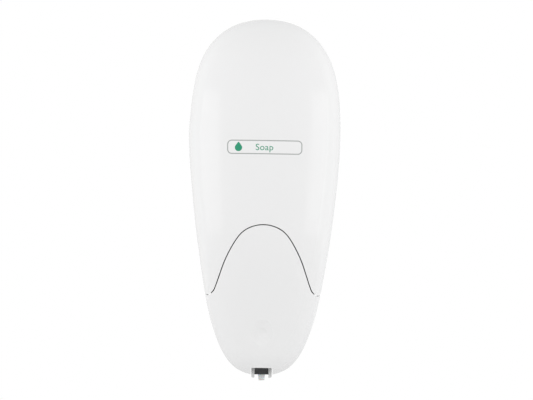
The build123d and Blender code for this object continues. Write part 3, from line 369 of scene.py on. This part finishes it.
# %% [markdown]
# ## The printed band
# The band on the cover carries a thin grey outline, a small green drop and the word Soap, all screen
# printed. Print is a skin of ink some hundredths of a millimetre thick, so each mark is a thin sheet laid
# on the band: every point is dropped straight back onto the curved surface and lifted by the ink's
# thickness. Building them as sheets and not as a picture keeps their edges sharp.

# %% Inks
INK_LIFT = 0.04 * MM


def ink(name, colour, shade):
    """Screen printed ink: slightly duller than the band, with pinholes and uneven cover."""
    material, tree, shader = new_material(name, IOR=1.48)
    skin = place_group(tree, moulded_skin, Colour=(*colour, 1), Shade=(*shade, 1), Clouds=0.7,
                       Roughness=0.38, Wear=0.25, Grain_Scale=5000.0)
    tree.links.new(skin.outputs["Colour"], shader.inputs["Base Color"])
    tree.links.new(skin.outputs["Roughness"], shader.inputs["Roughness"])
    wire_bump(tree, shader, skin.outputs["Height"], 0.25, 0.00004)
    return material


grey_ink = ink("grey_ink", (0.36, 0.38, 0.37), (0.44, 0.46, 0.45))
green_ink = ink("green_ink", (0.010, 0.30, 0.16), (0.02, 0.36, 0.20))
print("inks ready")

# %% [markdown]
# The shapes are drawn flat, as x and z, then dropped onto the band. A ray from in front finds the height
# of the band under each point.

# %% Lay print on the band


def surface_tree(part):
    """A search tree over a part of the frame, for finding its surface."""
    mesh = bmesh.new()
    mesh.from_mesh(part.data)
    found = BVHTree.FromBMesh(mesh)
    mesh.free()
    return found


band_tree = surface_tree(nodes["label_film"])


def lay_print(name, points, faces, material):
    """A sheet of ink from flat points (x, z) and faces, on the front of the band."""
    placed = []
    for x, z in points:
        hit = band_tree.ray_cast(Vector((x, -1, z)), Vector((0, 1, 0)))[0]
        placed.append((x, hit.y - INK_LIFT, z))
    mesh = bpy.data.meshes.new(name)
    mesh.from_pydata(placed, [], faces)
    mesh.materials.append(material)
    mesh.update()
    sheet = bpy.data.objects.new(name, mesh)
    bpy.context.collection.objects.link(sheet)
    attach(sheet, "cover")
    return sheet


def rounded_outline(half_x, half_z, radius, middle_z, corner_steps=10, side_steps=24):
    """Points round a rounded rectangle, anticlockwise, with its long sides divided."""
    points = []
    for corner in range(4):
        start = corner * math.pi / 2
        cx = (half_x - radius) * (1 if corner in (0, 3) else -1)
        cz = (half_z - radius) * (1 if corner in (0, 1) else -1)
        for i in range(corner_steps + 1):
            angle = start + i * math.pi / 2 / corner_steps
            points.append((cx + radius * math.cos(angle), middle_z + cz + radius * math.sin(angle)))
        if corner in (0, 2):
            last = points[-1]
            goal = -last[0]
            for i in range(1, side_steps):
                points.append((last[0] + (goal - last[0]) * i / side_steps, last[1]))
    return points


PRINT_Z = 40.0 * MM
LINE = 0.75 * MM
outer = rounded_outline(29.8 * MM, 5.6 * MM, 3.6 * MM, PRINT_Z)
inner = rounded_outline(29.8 * MM - LINE, 5.6 * MM - LINE, 3.6 * MM - LINE, PRINT_Z)
count = len(outer)
ring = [(i, (i + 1) % count, count + (i + 1) % count, count + i) for i in range(count)]
lay_print("band_outline", outer + inner, ring, grey_ink)
print("outline points:", count)

# %% [markdown]
# The drop is the usual sign for liquid soap: a circle drawn out to a point at the top. It stays generic.
# Its sheet has an inner ring of points, so that it follows the curve of the band.

# %% Drop
DROP_X, DROP_Z, DROP_R = -20.8 * MM, 39.5 * MM, 2.9 * MM


def drop_outline(scale, steps=48):
    """A drop with its point up, about its own centre."""
    points = []
    for i in range(steps):
        angle = 2 * math.pi * i / steps
        stretch = max(0.0, math.sin(angle)) ** 3
        x = scale * math.cos(angle) * (1 - 0.55 * stretch)
        z = scale * (math.sin(angle) + 0.55 * stretch)
        points.append((DROP_X + x, DROP_Z + z))
    return points


edge_points = drop_outline(DROP_R)
core_points = drop_outline(DROP_R * 0.5)
n = len(edge_points)
drop_faces = [(i, (i + 1) % n, n + (i + 1) % n, n + i) for i in range(n)]
drop_faces += [(n + i, n + (i + 1) % n, 2 * n) for i in range(n)]
lay_print("band_drop", edge_points + core_points + [(DROP_X, DROP_Z)], drop_faces, green_ink)
print("drop ready")

# %% [markdown]
# The word is set in a plain built-in letter. The flat text is turned into a mesh first, because only a
# mesh can be dropped onto a curved surface point by point.

# %% Word
WORD_SIZE = 7.2 * MM
text = bpy.data.curves.new("band_word_text", "FONT")
text.body = "Soap"
text.size = WORD_SIZE
text.align_x = "CENTER"
text.resolution_u = 6
text.space_character = 1.04
text_object = bpy.data.objects.new("band_word_text", text)
bpy.context.collection.objects.link(text_object)
flat = bpy.data.meshes.new_from_object(text_object)
word_points = [(v.co.x - 0.2 * MM, v.co.y + 37.6 * MM) for v in flat.vertices]
word_faces = [tuple(p.vertices) for p in flat.polygons]
bpy.data.objects.remove(text_object)
lay_print("band_word", word_points, word_faces, green_ink)
print("word points:", len(word_points), "width mm:",
      round(1000 * (max(x for x, _ in word_points) - min(x for x, _ in word_points)), 1))

# %% [markdown]
# ## The soap pouch
# The refill is a bag of two film sheets welded at the sides and top. Liquid fills it out at the bottom
# and it hangs flat at the top. It is lofted from lens-shaped sections a little smaller than the room it
# has, with a flat weld down each side. Cloth with pressure from inside then swells it: the film is given
# a little more area than the shape needs, so it puckers along the welds as a filled bag does.

# %% Pouch sections
# Height, half width, and rear and front depth, in millimetres.
POUCH = ((-51.5, 13.5, 42.0, 68.0), (-46.0, 23.0, 35.0, 75.0), (-32.0, 33.0, 27.0, 82.5),
         (-10.0, 38.0, 21.0, 90.0), (25.0, 40.0, 18.5, 94.5), (60.0, 39.5, 18.0, 91.5),
         (84.0, 36.0, 17.5, 76.0), (97.0, 30.0, 16.6, 40.0), (103.0, 25.0, 15.6, 17.0))
RINGS = 56
AROUND = 72
WELD = 3.6


def at_height(z):
    """Half width, rear and front depth of the pouch at a height, eased between the sections."""
    for low, high in zip(POUCH, POUCH[1:]):
        if z <= high[0]:
            share = (z - low[0]) / (high[0] - low[0])
            return [a + (b - a) * share for a, b in zip(low[1:], high[1:])]
    return list(POUCH[-1][1:])


def build_pouch():
    """The bag before it is swollen, with a vertex group that holds the welds."""
    mesh = bmesh.new()
    held = []
    rings = []
    for row in range(RINGS + 1):
        z = POUCH[0][0] + (POUCH[-1][0] - POUCH[0][0]) * row / RINGS
        half, rear, front = at_height(z)
        ring = []
        for i in range(AROUND):
            angle = 2 * math.pi * i / AROUND
            side, face = math.cos(angle), math.sin(angle)
            bulge = math.copysign(abs(face) ** 1.15, face)
            x = half * math.copysign(abs(side) ** 0.92, side)
            y = -(rear + front) / 2 - (front - rear) / 2 * bulge
            ring.append(mesh.verts.new((x * MM, y * MM, z * MM)))
            if i in (0, AROUND // 2) or row in (0, RINGS):
                held.append(ring[-1])
        rings.append(ring)
    for low, high in zip(rings, rings[1:]):
        for i in range(AROUND):
            after = (i + 1) % AROUND
            mesh.faces.new((low[i], low[after], high[after], high[i]))
    mesh.faces.new(list(reversed(rings[0])))
    mesh.faces.new(rings[-1])
    mesh.verts.index_update()
    held_numbers = [v.index for v in held]
    data = bpy.data.meshes.new("soap_bag")
    mesh.to_mesh(data)
    mesh.free()
    bag = bpy.data.objects.new("soap_bag", data)
    bpy.context.collection.objects.link(bag)
    group = bag.vertex_groups.new(name="welds")
    group.add(held_numbers, 1.0, "REPLACE")
    return bag


bag = build_pouch()
print("pouch vertices:", len(bag.data.vertices))

# %% Swell the pouch
SWELL_FRAMES = 16
MOST_MOVE = 3.2 * MM


def swell(bag):
    """Runs cloth with pressure on the bag and applies it, with every move capped."""
    start = [v.co.copy() for v in bag.data.vertices]
    cloth = bag.modifiers.new("swell", "CLOTH")
    settings = cloth.settings
    settings.quality = 6
    settings.mass = 0.02
    settings.tension_stiffness = 12
    settings.compression_stiffness = 12
    settings.bending_stiffness = 0.02
    settings.shrink_min = -0.05
    settings.use_pressure = True
    settings.uniform_pressure_force = 3.0
    settings.vertex_group_mass = "welds"
    settings.effector_weights.gravity = 0
    cloth.collision_settings.use_collision = False
    cloth.point_cache.frame_end = SWELL_FRAMES
    for number in range(1, SWELL_FRAMES + 1):
        bpy.context.scene.frame_set(number)
    graph = bpy.context.evaluated_depsgraph_get()
    swollen = [v.co.copy() for v in bag.evaluated_get(graph).data.vertices]
    bag.modifiers.remove(cloth)
    bpy.context.scene.frame_set(1)
    for vertex, before, after in zip(bag.data.vertices, start, swollen):
        move = after - before
        if move.length > MOST_MOVE:
            move = move * (MOST_MOVE / move.length)
        vertex.co = before + move


swell(bag)
smooth = bag.modifiers.new("smooth", "SUBSURF")
smooth.levels = smooth.render_levels = 1
bag.data.polygons.foreach_set("use_smooth", [True] * len(bag.data.polygons))
bag.data.materials.append(finishes["pouch_film"])
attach(bag, "wall_frame")
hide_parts("soap_pouch")
print("pouch swollen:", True)

# %% [markdown]
# The welds are flat double film. Down the sides they are narrow strips that follow the edge of the bag
# with a slight wave, and at the top a wider tab has a hole for the peg on the back plate. The fine cross
# ribs are the print of the welding jaw.

# %% Welds and tab


def film_sheet(name, rows):
    """A thin sheet of film from rows of points, with a little thickness."""
    width = len(rows[0])
    points = [point for row in rows for point in row]
    faces = []
    for r in range(len(rows) - 1):
        for c in range(width - 1):
            a = r * width + c
            faces.append((a, a + 1, a + width + 1, a + width))
    mesh = bpy.data.meshes.new(name)
    mesh.from_pydata(points, [], faces)
    mesh.materials.append(finishes["pouch_film"])
    sheet = bpy.data.objects.new(name, mesh)
    bpy.context.collection.objects.link(sheet)
    thick = sheet.modifiers.new("thick", "SOLIDIFY")
    thick.thickness = 0.35 * MM
    thick.offset = 0
    mesh.polygons.foreach_set("use_smooth", [True] * len(mesh.polygons))
    return sheet


def side_weld(side):
    """The weld down one side of the bag."""
    rows = []
    for row in range(3 * RINGS + 1):
        z = POUCH[0][0] + 3 + (POUCH[-1][0] - POUCH[0][0] - 3) * row / (3 * RINGS)
        half, rear, front = at_height(z)
        line = []
        for step in range(7):
            reach = WELD * step / 6
            rib = 0.12 * math.sin(2.2 * z) if 1 <= step <= 5 else 0.0
            wave = 0.5 * math.sin(z / 9.0 + side) * step / 6
            line.append((side * (half - 0.6 + reach) * MM, (-(rear + front) / 2 + wave + rib) * MM, z * MM))
        rows.append(line)
    return film_sheet("pouch_weld_" + ("right" if side > 0 else "left"), rows)


def top_tab():
    """The flat weld at the top, narrowing to a tab with the peg hole."""
    hole_z, hole_r = 113.0, 3.1
    around = 64
    rows = []
    for i in range(around + 1):
        angle = 2 * math.pi * i / around
        cx, cz = math.cos(angle), math.sin(angle)
        reach = 12.6 / max(abs(cx), 1e-6)
        up = (3.4 if cz > 0 else 10.6) / max(abs(cz), 1e-6)
        edge = min(reach, up)
        line = []
        for step in range(9):
            r = hole_r + (edge - hole_r) * step / 8
            x, z = r * cx, hole_z + r * cz
            rib = 0.10 * math.sin(2.6 * z) if z < 109 else 0.0
            line.append((x * MM, (-16.0 + rib) * MM, z * MM))
        rows.append(line)
    return film_sheet("pouch_tab", rows)


welds = [side_weld(-1), side_weld(1), top_tab()]
for piece in welds:
    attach(piece, "wall_frame")
print("welds:", [piece.name for piece in welds])

# %% [markdown]
# ## Stage and light
# A white product stands best in white surroundings: light comes from everywhere, a touch less from the
# front, so the middle of the cover reads a little darker than its sides. The ceiling is darker too. The
# surroundings are a brightness that changes with direction; where they are looked at directly they are
# plain white. Two wide soft lamps at the sides give the gloss its broad, quiet highlights. A plain pale
# floor far below throws light up.

# %% Surroundings
world = bpy.data.worlds.new("studio")
bpy.context.scene.world = world
world.use_nodes = True
sky = world.node_tree
background = sky.nodes["Background"]
direction = sky.nodes.new("ShaderNodeTexCoord")
split = sky.nodes.new("ShaderNodeSeparateXYZ")
sky.links.new(direction.outputs["Generated"], split.inputs[0])
# Share of the way from the front (0) to straight behind the dispenser (1), and brightness there.
ALONG_Y = ((0.0, 0.92), (0.18, 0.95), (0.35, 1.10), (0.58, 1.15), (0.74, 1.0), (0.87, 0.86), (1.0, 0.82))
# Share of the way from the ground (0) to the ceiling (1), and what brightness is scaled by there.
ALONG_Z = ((0.0, 1.10), (0.40, 1.06), (0.60, 1.0), (0.74, 0.98), (1.0, 0.60))


MOST = 1.25                  # brightness that the top of each curve stands for


def brightness_along(axis, stops):
    """A grey that changes with the direction's share along one axis, as a part of the most."""
    share = sky.nodes.new("ShaderNodeMath")
    share.operation = "MULTIPLY_ADD"
    share.inputs[1].default_value = 0.5
    share.inputs[2].default_value = 0.5
    sky.links.new(split.outputs[axis], share.inputs[0])
    ramp = sky.nodes.new("ShaderNodeFloatCurve")
    curve = ramp.mapping.curves[0]
    while len(curve.points) < len(stops):
        curve.points.new(0.5, 0.5)
    for point, (place, bright) in zip(curve.points, stops):
        point.location = (place, bright / MOST)
    ramp.mapping.update()
    sky.links.new(share.outputs[0], ramp.inputs["Value"])
    return ramp.outputs[0]


shaped = sky.nodes.new("ShaderNodeMath")
shaped.operation = "MULTIPLY"
sky.links.new(brightness_along("Y", ALONG_Y), shaped.inputs[0])
sky.links.new(brightness_along("Z", ALONG_Z), shaped.inputs[1])
scaled = sky.nodes.new("ShaderNodeMath")
scaled.operation = "MULTIPLY"
scaled.inputs[1].default_value = MOST ** 2
sky.links.new(shaped.outputs[0], scaled.inputs[0])
path = sky.nodes.new("ShaderNodeLightPath")
seen = sky.nodes.new("ShaderNodeMix")
seen.data_type = "RGBA"
seen.inputs[7].default_value = (1, 1, 1, 1)
sky.links.new(path.outputs["Is Camera Ray"], seen.inputs[0])
sky.links.new(scaled.outputs[0], seen.inputs[6])
sky.links.new(seen.outputs[2], background.inputs["Color"])
background.inputs["Strength"].default_value = 1.0
print("surroundings ready")

# %% Lamps and floor


def soft_lamp(name, place, width, height, power):
    """A wide soft lamp that faces the dispenser."""
    lamp = bpy.data.lights.new(name, "AREA")
    lamp.shape = "RECTANGLE"
    lamp.size = width
    lamp.size_y = height
    lamp.energy = power
    holder = bpy.data.objects.new(name, lamp)
    bpy.context.collection.objects.link(holder)
    holder.location = place
    aim = Vector((0, -0.05, 0)) - Vector(place)
    holder.rotation_euler = aim.to_track_quat("-Z", "Y").to_euler()
    return holder


soft_lamp("lamp_left", (-1.5, -0.8, -0.35), 0.9, 1.8, 3.6)
soft_lamp("lamp_right", (1.5, -0.8, -0.35), 0.9, 1.8, 3.6)

FLOOR_Z = -0.35
FLOOR_R = 1.2
floor_mesh = bmesh.new()
FLOOR_SIDES = 96
rim = []
for i in range(FLOOR_SIDES):
    angle = 2 * math.pi * i / FLOOR_SIDES
    rim.append(floor_mesh.verts.new((FLOOR_R * math.cos(angle), FLOOR_R * math.sin(angle), FLOOR_Z)))
floor_mesh.faces.new(rim)
floor_data = bpy.data.meshes.new("floor")
floor_mesh.to_mesh(floor_data)
floor_mesh.free()
floor_finish, floor_tree, floor_shader = new_material("floor", IOR=1.4)
floor_skin = place_group(floor_tree, moulded_skin, Colour=(0.86, 0.86, 0.86, 1), Shade=(0.83, 0.83, 0.83, 1),
                         Clouds=0.5, Roughness=0.7, Wear=0.1, Grain_Scale=300.0)
floor_tree.links.new(floor_skin.outputs["Colour"], floor_shader.inputs["Base Color"])
floor_tree.links.new(floor_skin.outputs["Roughness"], floor_shader.inputs["Roughness"])
floor_data.materials.append(floor_finish)
floor = bpy.data.objects.new("floor", floor_data)
bpy.context.collection.objects.link(floor)
floor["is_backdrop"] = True
print("stage ready")

# %% [markdown]
# ## Sizes and finish
# The box of the parts and the box of the finished picture are written side by side, so that they can be
# compared: the finishes and the soft pouch must not make the dispenser bigger.

# %% Sizes and finish
boxes = {"cad": cad_box, "visual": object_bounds()}
for name, box in boxes.items():
    print(name, "box", [[round(v, 4) for v in corner] for corner in box])
